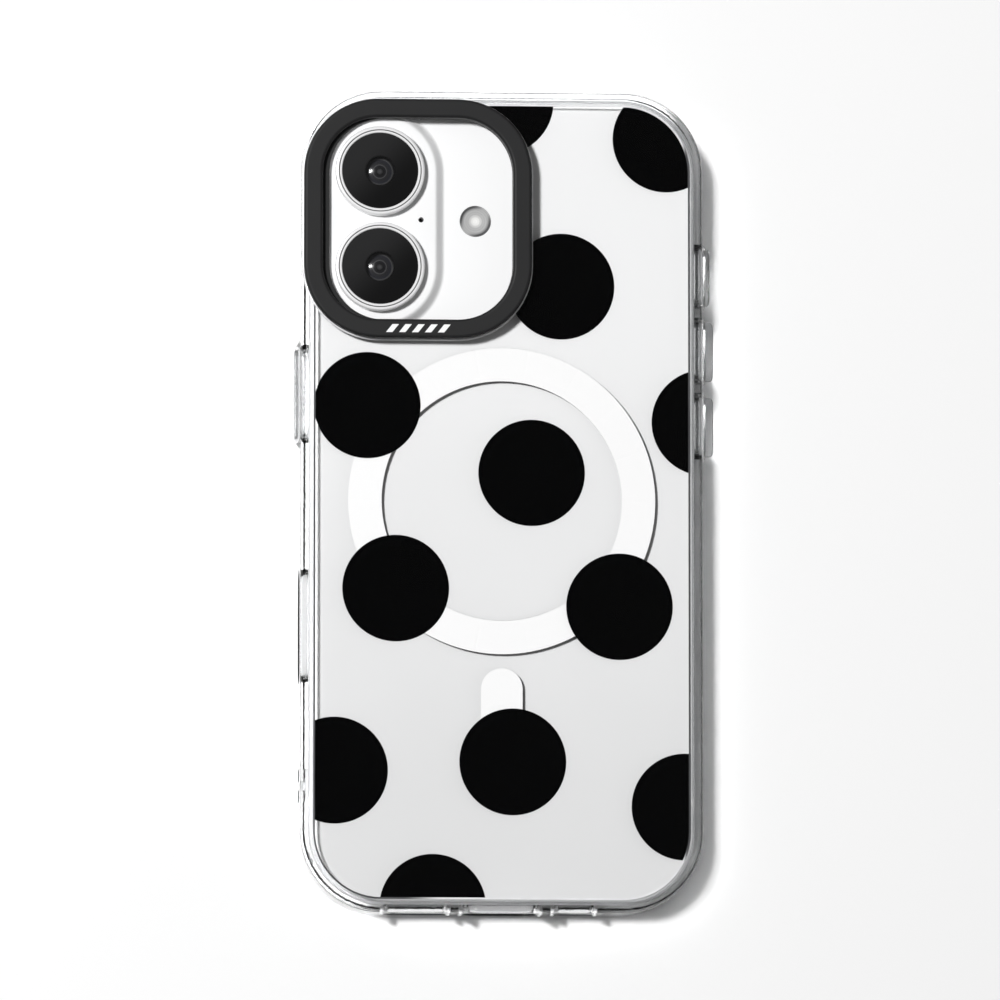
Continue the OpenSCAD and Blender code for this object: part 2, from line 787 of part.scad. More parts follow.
module haptic_motor() {
  color("silver") bottom_piece(-1, 22, 9, 3.2);
}

module loudspeaker() {
  color("dimgray") bottom_piece(1, 22, 11, 3.4);
}

module sound_meshes() {
  u1 = -band_wall - skin;
  overlap = 0.4;
  color("black") for (row = [[long_slot_x, long_row], [short_slot_x, short_row]])
    on_bottom(row[0], u1 - 0.4, u1)
      stadium(row_length(row[1]) + 2 * overlap, sound_hole_d + 2 * overlap);
}

module charging_coil() {
  color("chocolate") annulus(10.5, ring_d_in / 2 - 0.6, z_coil, z_coil + coil_t);
}

module phone_magnets() {
  color("gray") magnet_arcs(z_coil, z_coil + 1.5 * coil_t);
}

module usb_shell() {
  shell_t = 0.3;
  color("silver") difference() {
    on_bottom(0, -port_depth, 0) stadium(port_l, port_t);
    on_bottom(0, -port_depth + shell_t, 1) stadium(port_l - 2 * shell_t, port_t - 2 * shell_t);
  }
}

module usb_tongue() {
  tongue = [6.6, 0.7];
  color("dimgray") on_bottom(0, -port_depth + 0.3 + skin, -1.2) square(tongue, center = true);
}

module bottom_screws() {
  color("silver") for (s = [-1, 1]) difference() {
    union() {
      on_bottom(s * screw_x, -band_wall, -0.1) circle(screw_r);
      on_bottom(s * screw_x, -5, -band_wall) circle(0.5);
    }
    for (a = [0, 90]) on_bottom(s * screw_x, -0.5, 1) rotate(a) square([1, 0.22], center = true);
  }
}

// ---- the phone's buttons ----

module phone_button(side, y, l, out) {
  color("silver") {
    on_side(side, y, button_flange_u, out) stadium(l, button_h);
    on_side(side, y, button_flange_u - button_flange_t, button_flange_u)
      stadium(l + 2 * button_flange_w, button_h + 2 * button_flange_w);
  }
}

module action_button() phone_button(1, from_top(action_y), action_l, button_out);
module volume_up_button() phone_button(1, from_top(volume_up_y), volume_l, button_out);
module volume_down_button() phone_button(1, from_top(volume_down_y), volume_l, button_out);
module side_button() phone_button(-1, from_top(side_y), side_l, button_out);
module camera_control() phone_button(-1, from_top(control_y), control_l, 0);

// One tactile switch behind each button
module button_switches() {
  color("goldenrod")
    for (b = [[1, action_y], [1, volume_up_y], [1, volume_down_y], [-1, side_y], [-1, control_y]])
      on_side(b[0], from_top(b[1]), switch_u - switch_t, switch_u)
        square([3.2, 2.2], center = true);
}

bumper();
back_panel();
face_sheet();
dot_print();
ring_cover();
ring_magnets();
ring_backing();
bar_cover();
bar_magnet();
camera_bezel();
bezel_marks();
action_cover();
volume_up_cover();
volume_down_cover();
side_cover();
phone_band();
antenna_inserts();
screen_glass();
display_panel();
midplate();
back_glass();
camera_plateau();
lens_ring_upper();
lens_ring_lower();
lens_glass_upper();
lens_glass_lower();
lens_stack_upper();
lens_stack_lower();
camera_module_upper();
camera_module_lower();
flash_window();
flash_led();
rear_mic_mesh();
front_camera();
earpiece_mesh();
earpiece_speaker();
battery();
logic_board();
board_shields();
haptic_motor();
loudspeaker();
sound_meshes();
charging_coil();
phone_magnets();
usb_shell();
usb_tongue();
bottom_screws();
action_button();
volume_up_button();
volume_down_button();
side_button();
camera_control();
button_switches();
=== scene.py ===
"""A clear dotted case on a phone: its finishes, the moulded covers, ribs and lens fittings, and the table."""

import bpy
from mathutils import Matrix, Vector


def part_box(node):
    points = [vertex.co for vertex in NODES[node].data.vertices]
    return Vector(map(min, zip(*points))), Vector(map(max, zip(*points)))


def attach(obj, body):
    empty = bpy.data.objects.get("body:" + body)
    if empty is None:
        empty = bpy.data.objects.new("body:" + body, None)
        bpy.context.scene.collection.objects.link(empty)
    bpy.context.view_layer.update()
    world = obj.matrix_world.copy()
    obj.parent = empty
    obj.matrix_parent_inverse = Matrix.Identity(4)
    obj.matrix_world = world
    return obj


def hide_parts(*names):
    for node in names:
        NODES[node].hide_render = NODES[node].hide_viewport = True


bl_info = {
    "name": "Clear dotted phone case",
    "version": (1, 0, 0),
    "blender": (4, 5, 0),
    "location": "3D View > Sidebar > Phone case",
    "description": "Finishes and moulded details for a clear dotted case on a phone, and a table",
    "category": "Object",
}

import math

import bpy
import numpy as np
from mathutils import Matrix, Vector

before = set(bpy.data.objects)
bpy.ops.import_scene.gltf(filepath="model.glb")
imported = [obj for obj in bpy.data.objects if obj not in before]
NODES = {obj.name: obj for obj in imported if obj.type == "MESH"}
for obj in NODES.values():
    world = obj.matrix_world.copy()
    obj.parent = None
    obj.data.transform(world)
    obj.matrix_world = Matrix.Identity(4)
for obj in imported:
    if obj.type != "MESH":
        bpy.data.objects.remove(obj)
MM = 0.001
SHARP_ANGLE = math.radians(32)


def corners_of(node):
    """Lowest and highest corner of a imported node, as arrays in metres."""
    low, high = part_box(node)
    return np.array(low), np.array(high)


def middle_of(node):
    """Point half way between the two corners."""
    low, high = corners_of(node)
    return (low + high) / 2


# ---- sizes and colours that a user would change ----


class CaseLook(bpy.types.PropertyGroup):
    soft_tint: bpy.props.FloatVectorProperty(
        name="Bumper tint", description="Colour that the thick clear bumper gives to light",
        subtype="COLOR", size=4, min=0, max=1, default=(0.82, 0.825, 0.83, 1))
    soft_roughness: bpy.props.FloatProperty(
        name="Bumper roughness", description="How satin the moulded bumper is",
        subtype="FACTOR", min=0, max=1, default=0.05)
    film_share: bpy.props.FloatProperty(
        name="Sheet gloss", description="Share of the light that each face of the clear sheet mirrors",
        subtype="FACTOR", min=0, max=0.5, default=0.007)
    ink: bpy.props.FloatVectorProperty(
        name="Ink", description="Colour of the printed dots",
        subtype="COLOR", size=4, min=0, max=1, default=(0.0006, 0.0006, 0.0007, 1))
    ring_white: bpy.props.FloatVectorProperty(
        name="Ring cover", description="Colour of the film over the magnets",
        subtype="COLOR", size=4, min=0, max=1, default=(0.95, 0.95, 0.95, 1))
    bezel_black: bpy.props.FloatVectorProperty(
        name="Bezel", description="Colour of the plastic round the cameras",
        subtype="COLOR", size=4, min=0, max=1, default=(0.0165, 0.0165, 0.017, 1))
    cover_round: bpy.props.FloatProperty(
        name="Cover rounding", description="Radius along the outer edge of a button cover",
        subtype="DISTANCE", unit="LENGTH", min=0.0002, max=0.0009, default=0.0007)
    ramp_width: bpy.props.FloatProperty(
        name="Ramp width", description="Width of the moulded ramp round a button cover",
        subtype="DISTANCE", unit="LENGTH", min=0.0008, max=0.002, default=0.0016)
    ramp_height: bpy.props.FloatProperty(
        name="Ramp height", description="Height of the moulded ramp round a button cover",
        subtype="DISTANCE", unit="LENGTH", min=0.0002, max=0.0012, default=0.0008)
    # The edge line's colour is painted: painted shade down the sheet's sides, a pale painted highlight
    # elsewhere.
    edge_line: bpy.props.FloatProperty(
        name="Edge line", description="Width of the dark line of glue along the clear sheet's edge",
        subtype="DISTANCE", unit="LENGTH", min=0.0001, max=0.0005, default=0.00032)
    seam_width: bpy.props.FloatProperty(
        name="Bezel seam", description="Width of the bead of clear sealant round the camera bezel",
        subtype="DISTANCE", unit="LENGTH", min=0.0001, max=0.0006, default=0.00026)
    rib_width: bpy.props.FloatProperty(
        name="Rib width", description="Width of the moulded rib at each end of a cut-out in the bottom wall",
        subtype="DISTANCE", unit="LENGTH", min=0.0003, max=0.0009, default=0.0006)


class PhoneLook(bpy.types.PropertyGroup):
    glass_white: bpy.props.FloatVectorProperty(
        name="Back glass", description="Colour of the back glass",
        subtype="COLOR", size=4, min=0, max=1, default=(0.8, 0.802, 0.805, 1))
    band_silver: bpy.props.FloatVectorProperty(
        name="Band", description="Colour of the anodised band",
        subtype="COLOR", size=4, min=0, max=1, default=(0.76, 0.76, 0.765, 1))
    coating: bpy.props.FloatVectorProperty(
        name="Lens coating", description="Tint of the front lens element",
        subtype="COLOR", size=4, min=0, max=1, default=(0.026, 0.027, 0.034, 1))
    element_radius: bpy.props.FloatProperty(
        name="Front element", description="Radius of the front lens element",
        subtype="DISTANCE", unit="LENGTH", min=0.0015, max=0.0035, default=0.0025)


class StageLook(bpy.types.PropertyGroup):
    floor_colour: bpy.props.FloatVectorProperty(
        name="Table", description="Colour of the table",
        subtype="COLOR", size=4, min=0, max=1, default=(0.9, 0.9, 0.9, 1))
    tilt_south: bpy.props.FloatProperty(
        name="Camera tilt", description="Angle of the camera from overhead, towards the charging port",
        subtype="ANGLE", unit="ROTATION", default=math.radians(6))
    tilt_west: bpy.props.FloatProperty(
        name="Camera sideways tilt", description="Angle of the camera from overhead, towards the side button",
        subtype="ANGLE", unit="ROTATION", default=math.radians(4))
    distance: bpy.props.FloatProperty(
        name="Camera distance", description="Distance of the camera",
        subtype="DISTANCE", unit="LENGTH", default=2.05)
    key_watts: bpy.props.FloatProperty(
        name="Key light", description="Power of the small light that casts the shadows",
        subtype="POWER", unit="POWER", default=29)
    fill_watts: bpy.props.FloatProperty(
        name="Fill light", description="Power of the large, soft light on the other side",
        subtype="POWER", unit="POWER", default=2)
    sky: bpy.props.FloatProperty(
        name="Surrounding light",
        description="Strength of the light from overhead; it fades towards the horizon",
        subtype="FACTOR", min=0, max=2, default=0.14)


# ---- shader maths ----


class Wire:
    """A shader value. An expression on it adds Math nodes."""

    def __init__(self, finish, socket):
        self.finish, self.socket = finish, socket

    def maths(self, operation, *values):
        """Another Wire: the operation's result on the values."""
        return self.finish.node("ShaderNodeMath", {"operation": operation}, values)

    def __add__(self, other):
        return self.maths("ADD", self, other)

    def __mul__(self, other):
        return self.maths("MULTIPLY", self, other)

    def __sub__(self, other):
        return self.maths("SUBTRACT", self, other)

    def __rsub__(self, other):
        return self.maths("SUBTRACT", other, self)

    def __truediv__(self, other):
        return self.maths("DIVIDE", self, other)

    def __pow__(self, other):
        return self.maths("POWER", self, other)

    def __abs__(self):
        return self.maths("ABSOLUTE", self)

    def sine(self):
        return self.maths("SINE", self)

    def larger(self, other):
        return self.maths("MAXIMUM", self, other)

    __radd__ = __add__
    __rmul__ = __mul__


class Finish:
    """A material with one shader, built up by socket names."""

    def __init__(self, name, **fixed):
        self.material = bpy.data.materials.new(name)
        self.material.use_nodes = True
        self.tree = self.material.node_tree
        self.tree.nodes.clear()
        self.shader = self.tree.nodes.new("ShaderNodeBsdfPrincipled")
        surface = self.tree.nodes.new("ShaderNodeOutputMaterial")
        self.tree.links.new(self.shader.outputs[0], surface.inputs["Surface"])
        self.places = None
        self.clear = "transmission_weight" in fixed
        self.give(**fixed)

    def give(self, **sockets):
        """Sets or links the shader's sockets. base_color stands for Base Color, and so on."""
        for key, value in sockets.items():
            self.feed(self.shader.inputs[key.replace("_", " ").title().replace("Ior", "IOR")], value)

    def feed(self, socket, value):
        """Links a Wire to the socket, and sets anything else as its value."""
        if isinstance(value, Wire):
            self.tree.links.new(value.socket, socket)
        else:
            socket.default_value = value

    def node(self, kind, settings=None, values=(), out=0):
        """Adds a node: its settings first, a ramp's stops among them, then its sockets' values or links."""
        made = self.tree.nodes.new(kind)
        for key, value in (settings or {}).items():
            if key == "stops":
                ramp = made.color_ramp
                while len(ramp.elements) < len(value):
                    ramp.elements.new(1)
                for element, (place, colour) in zip(ramp.elements, value):
                    element.position, element.color = place, colour
            else:
                setattr(made, key, value)
        pairs = values.items() if isinstance(values, dict) else enumerate(values)
        for key, value in pairs:
            self.feed(made.inputs[key], value)
        return Wire(self, made.outputs[out])

    def place(self):
        """Where a point lies on the object, in metres."""
        if self.places is None:
            self.places = self.node("ShaderNodeTexCoord", out="Object")
        return self.places

    def axes(self):
        """The point's x, y and z on the object, each as a Wire."""
        split = self.node("ShaderNodeSeparateXYZ", values=(self.place(),))
        return [Wire(self, split.socket.node.outputs[k]) for k in range(3)]

    def noise(self, size, detail=2.0, stretch=(1, 1, 1)):
        """Cloudy noise from 0 to 1, whose features are about size metres across."""
        spread = self.node("ShaderNodeVectorMath", {"operation": "MULTIPLY"},
                           (self.place(), tuple(s / size for s in stretch)))
        return self.node("ShaderNodeTexNoise", {"noise_dimensions": "3D"},
                         {"Vector": spread, "Scale": 1.0, "Detail": detail})

    def cells(self, size):
        """Distance to the nearest of many scattered points, from 0 to about 1."""
        spread = self.node("ShaderNodeVectorMath", {"operation": "MULTIPLY"},
                           (self.place(), (1 / size,) * 3))
        return self.node("ShaderNodeTexVoronoi", {"feature": "F1"}, {"Vector": spread, "Scale": 1.0})

    def ease(self, value, low, high, start=0.0, end=1.0):
        """start up to low, end from high on, and a smooth step between them."""
        return self.node("ShaderNodeMapRange", {"interpolation_type": "SMOOTHSTEP"},
                         (value, low, high, start, end))

    def radius(self, middle):
        """Distance from an upright axis through a point."""
        x, y, _ = self.axes()
        dx, dy = x - float(middle[0]), y - float(middle[1])
        return (dx * dx + dy * dy) ** 0.5

    def mix(self, share, first, second):
        """A colour from first to second."""
        share_in, first_in, second_in, colour_out = 0, 6, 7, 2
        return self.node("ShaderNodeMix", {"data_type": "RGBA"},
                         {share_in: share, first_in: first, second_in: second}, out=colour_out)

    def relief(self, height, depth):
        """Bumps of that depth in metres, from a height between 0 and 1."""
        self.give(normal=self.node("ShaderNodeBump", values={"Strength": 1.0, "Distance": depth,
                                                             "Height": height}))


def shade(colour, factor):
    """The same colour, darker or lighter."""
    return tuple(min(1.0, c * factor) for c in colour[:3]) + (1.0,)


def finish_nodes(finish, *names):
    """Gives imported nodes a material. Their meshes stay as they are. Clear ones let the light through, because
    a ray of light doesn't bend on its way to a lamp and would stop at them."""
    for name in names:
        slots = NODES[name].data.materials
        slots.clear()
        slots.append(finish.material)
        if finish.clear:
            NODES[name].visible_shadow = False


# ---- surfaces ----


def circle_path(middle, steps=128):
    """Core points and directions of a circle: the core stays in the middle, the direction turns once."""
    turn = np.arange(steps) * 2 * math.pi / steps
    way = np.stack([np.cos(turn), np.sin(turn)], -1)
    return np.broadcast_to(np.asarray(middle[:2], float), way.shape), way


def stadium_path(half_core, steps=24):
    """Core points and directions of a bar with round ends: a half turn at each end of its core line."""
    turn = np.concatenate([np.linspace(-math.pi / 2, math.pi / 2, steps),
                           np.linspace(math.pi / 2, 3 * math.pi / 2, steps)])
    way = np.stack([np.cos(turn), np.sin(turn)], -1)
    end = np.repeat([half_core, -half_core], steps)
    return np.stack([end, np.zeros_like(end)], -1), way


def rounded_path(low, high, radius, steps=16):
    """Core points and directions of a rectangle with round corners: a quarter turn at each of its core's
    corners."""
    turn = np.concatenate([k * math.pi / 2 + np.linspace(0, math.pi / 2, steps) for k in range(4)])
    way = np.stack([np.cos(turn), np.sin(turn)], -1)
    right, top = high[0] - radius, high[1] - radius
    left, bottom = low[0] + radius, low[1] + radius
    core = np.repeat([(right, top), (left, top), (left, bottom), (right, bottom)], steps, axis=0)
    return core, way


def rings_of(path, profile):
    """Carries a profile of (reach, height) round a path: core + reach * direction, at that height."""
    core, way = path
    reach, height = np.asarray(profile, float).T
    flat = core[None] + reach[:, None, None] * way[None]
    return np.concatenate([flat, np.broadcast_to(height[:, None, None], flat.shape[:2] + (1,))], -1)


def closed_faces(rings, capped):
    """Quads between neighbouring rings. A capped shape is closed by its first and last ring, and another one
    runs from its last ring back to its first."""
    count, around = rings.shape[:2]
    i, j = np.meshgrid(np.arange(count - 1 if capped else count), np.arange(around), indexing="ij")
    up, on = (i + 1) % count, (j + 1) % around
    faces = np.stack([i * around + j, i * around + on, up * around + on, up * around + j], -1)
    faces = faces.reshape(-1, 4).tolist()
    if capped:
        faces.append(list(range(around))[::-1])
        faces.append(list(range((count - 1) * around, count * around)))
    return faces


def on_side(rings, side, y, z):
    """Stands rings up in a side face: along the phone, up, and out of the face."""
    along, up, out = rings[..., 0], rings[..., 1], rings[..., 2]
    return np.stack([side * out, y + side * along, z + up], -1)


def on_bottom(rings, x, z):
    """Stands rings up in the bottom face: along the phone's width, up, and out of the face."""
    along, up, out = rings[..., 0], rings[..., 1], rings[..., 2]
    return np.stack([x + along, -out, z + up], -1)


def put(name, rings, capped, finish, body, stands_for=()):
    """Makes a closed mesh of the rings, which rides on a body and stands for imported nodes."""
    mesh = bpy.data.meshes.new(name)
    mesh.from_pydata(rings.reshape(-1, 3).tolist(), [], closed_faces(rings, capped))
    mesh.polygons.foreach_set("use_smooth", np.ones(len(mesh.polygons), bool))
    mesh.set_sharp_from_angle(angle=SHARP_ANGLE)
    mesh.materials.append(finish.material)
    mesh.update()
    piece = bpy.data.objects.new(name, mesh)
    bpy.context.scene.collection.objects.link(piece)
    if finish.clear:
        piece.visible_shadow = False
    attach(piece, body)
    if stands_for:
        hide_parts(*stands_for)


def round_edge(reach, height, radius, steps=6, start=0, turn=90):
    """Points along an arc round (reach, height), from the start angle over the turn, in degrees."""
    angle = np.radians(start + np.linspace(0, turn, steps))
    return [(reach + radius * math.cos(a), height + radius * math.sin(a)) for a in angle]


# ---- finishes of the case ----


def clear_soft(look):
    """Moulded soft plastic: flow marks, a fine satin grain, and a slight tint in the thick parts."""
    f = Finish("clear_soft", ior=1.49, transmission_weight=1.0)
    flow, grain = f.noise(14 * MM, 3), f.noise(0.5 * MM)
    f.give(base_color=f.mix(flow, shade(look.soft_tint, 0.97), look.soft_tint),
           roughness=look.soft_roughness + 0.05 * grain)
    f.relief(0.8 * flow + 0.2 * grain, 0.05 * MM)
    return f


def clear_film(look):
    """A clear hard sheet, thin enough to see through without bending the light: it mirrors a few percent."""
    f = Finish("clear_film", metallic=1.0, alpha=look.film_share)
    wave = f.noise(30 * MM, 2)
    f.give(base_color=f.mix(wave, (0.94, 0.95, 0.96, 1), (1, 1, 1, 1)), roughness=0.03 + 0.04 * wave)
    f.relief(wave, 0.02 * MM)
    return f


def clear_core():
    """The inside of the back panel, whose faces are joined to the sheet and the print."""
    f = Finish("clear_core", metallic=1.0, alpha=0.01)
    wave = f.noise(22 * MM, 2)
    f.give(base_color=f.mix(wave, (0.86, 0.88, 0.9, 1), (0.95, 0.96, 0.97, 1)), roughness=0.1 + 0.05 * wave)
    return f


def painted_highlight_rib():
    """Soft plastic painted white as a highlight where the rest is clear, with a fine etched grain."""
    f = Finish("painted_highlight_rib", alpha=0.85, specular_ior_level=0.5)
    etch = f.noise(0.3 * MM, 3)
    # Painted highlight: the rib's near-white colour.
    f.give(base_color=f.mix(etch, (0.84, 0.84, 0.845, 1), (0.97, 0.97, 0.97, 1)), roughness=0.35 + 0.2 * etch)
    f.relief(etch, 0.02 * MM)
    return f


def dot_ink(look):
    """Screen-printed ink: a faint mesh of the screen in its gloss."""
    f = Finish("dot_ink", specular_ior_level=0.0)
    x, y, _ = f.axes()
    thread = 9000  # radians a metre, which is a thread every 0.35 mm
    screen = (x * thread).sine() * (y * thread).sine() * 0.5 + 0.5
    patch = f.noise(6 * MM, 3)
    f.give(base_color=f.mix(patch, look.ink, shade(look.ink, 1.6)),
           roughness=0.42 + 0.12 * screen + 0.08 * patch)
    f.relief(screen, 0.003 * MM)
    return f


def ring_film(look):
    """White film: fine fibres, and a slight dip over the gap between neighbouring magnets."""
    f = Finish("ring_film")
    x, y, _ = f.axes()
    magnets = 18
    angle = f.node("ShaderNodeMath", {"operation": "ARCTAN2"}, (y, x))
    gap = f.ease(abs((angle * (magnets / 2)).sine()), 0.0, 0.12)
    fibre = f.noise(0.35 * MM, 3)
    f.give(base_color=f.mix(fibre, shade(look.ring_white, 0.985), look.ring_white),
           roughness=0.5 + 0.12 * fibre)
    f.relief(0.85 * gap + 0.15 * fibre, 0.012 * MM)
    return f


def bezel_plastic(look):
    """Charcoal plastic with a spark-eroded grain over slow patches of a lighter black."""
    f = Finish("bezel_plastic", specular_ior_level=0.16)
    grain, patch = f.noise(0.22 * MM, 3), f.noise(9 * MM, 2)
    colour = f.mix(patch, shade(look.bezel_black, 0.9), shade(look.bezel_black, 1.12))
    f.give(base_color=colour, roughness=0.4 + 0.16 * grain + 0.06 * patch)
    f.relief(grain, 0.012 * MM)
    return f


def mark_print():
    """White pad print, slightly uneven in its density."""
    f = Finish("mark_print")
    patch = f.noise(0.3 * MM, 3)
    f.give(base_color=f.mix(patch, (0.8, 0.8, 0.8, 1), (0.93, 0.93, 0.93, 1)), roughness=0.5 + 0.1 * patch)
    return f


def painted_edge_line():
    """A painted edge line along the sheet's edge, uneven along its length: painted shade down the two sides and
    round the corner between the long sound slot and the strap holes, and a pale painted highlight elsewhere."""
    f = Finish("painted_edge_line", specular_ior_level=0.2)
    x, y, _ = f.axes()
    unevenness = f.noise(2.5 * MM, 3, (1, 0.25, 1))
    # Painted shade down the two sides and round the lower-left corner; the pale tone elsewhere is a painted
    # highlight.
    side = f.ease(abs(x), 33.4 * MM, 34.3 * MM).larger(f.ease(-1 * (x + y), 84 * MM, 92 * MM))
    dark = f.mix(unevenness, (0.02, 0.02, 0.022, 1), (0.11, 0.11, 0.115, 1))
    pale_and_highlight = f.mix(unevenness, (0.62, 0.62, 0.63, 1), (0.9, 0.9, 0.91, 1))
    f.give(base_color=f.mix(side, pale_and_highlight, dark), roughness=0.35 + 0.2 * unevenness)
    return f


def sealant_bead():
    """Milky sealant, wiped by hand."""
    f = Finish("sealant_bead", coat_weight=0.3, coat_roughness=0.2)
    wipe = f.noise(1.8 * MM, 3)
    f.give(base_color=f.mix(wipe, (0.6, 0.6, 0.61, 1), (0.88, 0.88, 0.89, 1)), roughness=0.3 + 0.2 * wipe)
    f.relief(wipe, 0.02 * MM)
    return f


def plated_magnet():
    """Nickel plate with fine scratches along one way."""
    f = Finish("plated_magnet", metallic=1.0)
    scratch = f.noise(0.2 * MM, 3, (1, 0.06, 1))
    f.give(base_color=f.mix(scratch, (0.42, 0.42, 0.43, 1), (0.55, 0.55, 0.56, 1)),
           roughness=0.28 + 0.2 * scratch)
    f.relief(scratch, 0.004 * MM)
    return f


def rolled_steel():
    """Stamped steel with rolling marks."""
    f = Finish("rolled_steel", metallic=1.0)
    roll, patch = f.noise(0.3 * MM, 3, (0.05, 1, 1)), f.noise(5 * MM)
    f.give(base_color=f.mix(patch, (0.52, 0.52, 0.53, 1), (0.64, 0.64, 0.65, 1)), roughness=0.3 + 0.18 * roll)
    f.relief(roll, 0.006 * MM)
    return f


# ---- finishes of the phone ----


def blasted_band(look):
    """Bead-blasted, anodised aluminium."""
    f = Finish("blasted_band", metallic=0.4)
    pit, patch = f.noise(0.12 * MM, 2), f.noise(12 * MM)
    f.give(base_color=f.mix(patch, shade(look.band_silver, 0.96), look.band_silver),
           roughness=0.3 + 0.12 * pit + 0.04 * patch)
    f.relief(pit, 0.006 * MM)
    return f


def white_glass(name, look, roughness):
    """Colour-infused glass: a milky, slightly cloudy white under a satin or polished face; painted shade
    darkens it towards the port and painted light brightens it towards the top, in a cloudy sweep."""
    f = Finish(name, coat_weight=0.2, coat_roughness=0.12)
    _, y, _ = f.axes()
    cloud, etch = f.noise(45 * MM, 2), f.noise(0.15 * MM, 2)
    # Painted light and shade: darker towards the port, lighter towards the top.
    depth = f.ease(y + 60 * MM * cloud, -60 * MM, 90 * MM)
    f.give(base_color=f.mix(depth, shade(look.glass_white, 0.93), shade(look.glass_white, 1.12)),
           roughness=roughness + 0.08 * etch)
    f.relief(etch, 0.002 * MM)
    return f


def antenna_plastic():
    """Off-white plastic with a fine moulded grain."""
    f = Finish("antenna_plastic")
    grain = f.noise(0.2 * MM, 3)
    f.give(base_color=f.mix(grain, (0.78, 0.78, 0.77, 1), (0.86, 0.86, 0.85, 1)),
           roughness=0.42 + 0.12 * grain)
    f.relief(grain, 0.006 * MM)
    return f


def turned_trim(middle, groove):
    """A satin ring with the fine circles of its turning, and painted shade in its groove."""
    f = Finish("turned_trim", metallic=0.25)
    pitch = 0.09 * MM
    turn = (f.radius(middle) * (2 * math.pi / pitch)).sine() * 0.5 + 0.5
    metal = f.mix(f.noise(3 * MM), (0.9, 0.9, 0.905, 1), (0.97, 0.97, 0.975, 1))
    # Painted shade: a dark line along the groove.
    groove_shade = f.ease(abs(f.radius(middle) - groove), 0.06 * MM, 0.14 * MM, 1, 0)
    f.give(base_color=f.mix(groove_shade, metal, (0.1, 0.1, 0.102, 1)), roughness=0.2 + 0.1 * turn)
    f.relief(turn, 0.002 * MM)
    return f


def lens_cover(middle, look):
    """A cover glass: black behind its border, clear in the middle, and lighter towards its upper left by a
    painted sheen.
    """
    f = Finish("lens_cover", specular_ior_level=0.5)
    x, y, _ = f.axes()
    film, r = f.noise(5 * MM, 2), f.radius(middle)
    # Painted sheen: the glass is lighter towards the upper left.
    painted_sheen = f.ease((y - float(middle[1])) - (x - float(middle[0])), -6 * MM, 7 * MM)
    clear = look.element_radius
    f.give(base_color=f.mix(painted_sheen, (0.0035, 0.0035, 0.0037, 1), (0.019, 0.019, 0.0195, 1)),
           roughness=0.05 + 0.05 * film, alpha=f.ease(r, clear, clear + 0.5 * MM, 0.25, 1.0))
    return f


def lens_inside(middle, look):
    """Black ridges round a coated front element; painted reflections give light rings at the elements' edges
    and a lighter middle.
    """
    f = Finish("lens_inside", coat_weight=0.4, coat_roughness=0.05)
    r = f.radius(middle)
    element = look.element_radius
    # Painted reflections: the lighter stops at 0, 0.5 and 0.95 of the element's radius.
    tint = f.node("ShaderNodeValToRGB", {"stops": [
        (0.0, (0.16, 0.16, 0.17, 1)), (0.16, (0.09, 0.09, 0.095, 1)), (0.24, (0.02, 0.02, 0.022, 1)),
        (0.44, (0.035, 0.035, 0.04, 1)), (0.5, (0.2, 0.2, 0.21, 1)), (0.56, (0.06, 0.06, 0.064, 1)),
        (0.86, shade(look.coating, 2.4)), (0.95, (0.2, 0.2, 0.205, 1)), (1.0, (0.06, 0.06, 0.06, 1))]},
        (r / element,))
    rim = f.ease(r, element, element + 0.18 * MM)
    grain = f.noise(0.15 * MM)
    f.give(base_color=f.mix(rim, tint, (0.012, 0.012, 0.013, 1)),
           roughness=f.ease(r, element - 0.1 * MM, element + 0.1 * MM, 0.12, 0.42) + 0.08 * grain)
    return f


def black_mould():
    """Matt black plastic with a moulded grain."""
    f = Finish("black_mould")
    grain = f.noise(0.25 * MM, 3)
    f.give(base_color=f.mix(grain, (0.009, 0.009, 0.01, 1), (0.018, 0.018, 0.019, 1)),
           roughness=0.5 + 0.2 * grain)
    f.relief(grain, 0.015 * MM)
    return f


def flash_glass(middle):
    """A frosted window with a flat lens moulded into it, with a painted highlight in its middle and painted
    shade along its border on two sides.
    """
    f = Finish("flash_glass", specular_ior_level=0.5, coat_weight=0.5, coat_roughness=0.08)
    x, y, _ = f.axes()
    r = f.radius(middle)
    steps = f.node("ShaderNodeMath", {"operation": "FRACT"}, (r / (0.42 * MM),))
    # Painted shade: the border is darkened on the upper-left and lower-right sides.
    side = f.ease(abs((y - float(middle[1])) - (x - float(middle[0]))), 0.6 * MM, 3.2 * MM, 0.1, 1.0)
    border = f.ease(r, 2.0 * MM, 2.65 * MM) * side
    # Painted highlight: the middle is pale, fading to the window's grey outward.
    core = f.ease(r, 0.3 * MM, 1.5 * MM)
    pale_and_highlight = f.mix(core, (0.86, 0.855, 0.84, 1), (0.44, 0.44, 0.44, 1))
    f.give(base_color=f.mix(border, pale_and_highlight, (0.07, 0.07, 0.072, 1)), roughness=0.22 + 0.14 * steps)
    f.relief(steps, 0.03 * MM)
    return f


def flash_phosphor():
    """Yellow phosphor powder, set in silicone."""
    f = Finish("flash_phosphor")
    grain = f.noise(0.12 * MM, 3)
    f.give(base_color=f.mix(grain, (0.7, 0.6, 0.25, 1), (0.86, 0.78, 0.45, 1)), roughness=0.5 + 0.15 * grain)
    return f


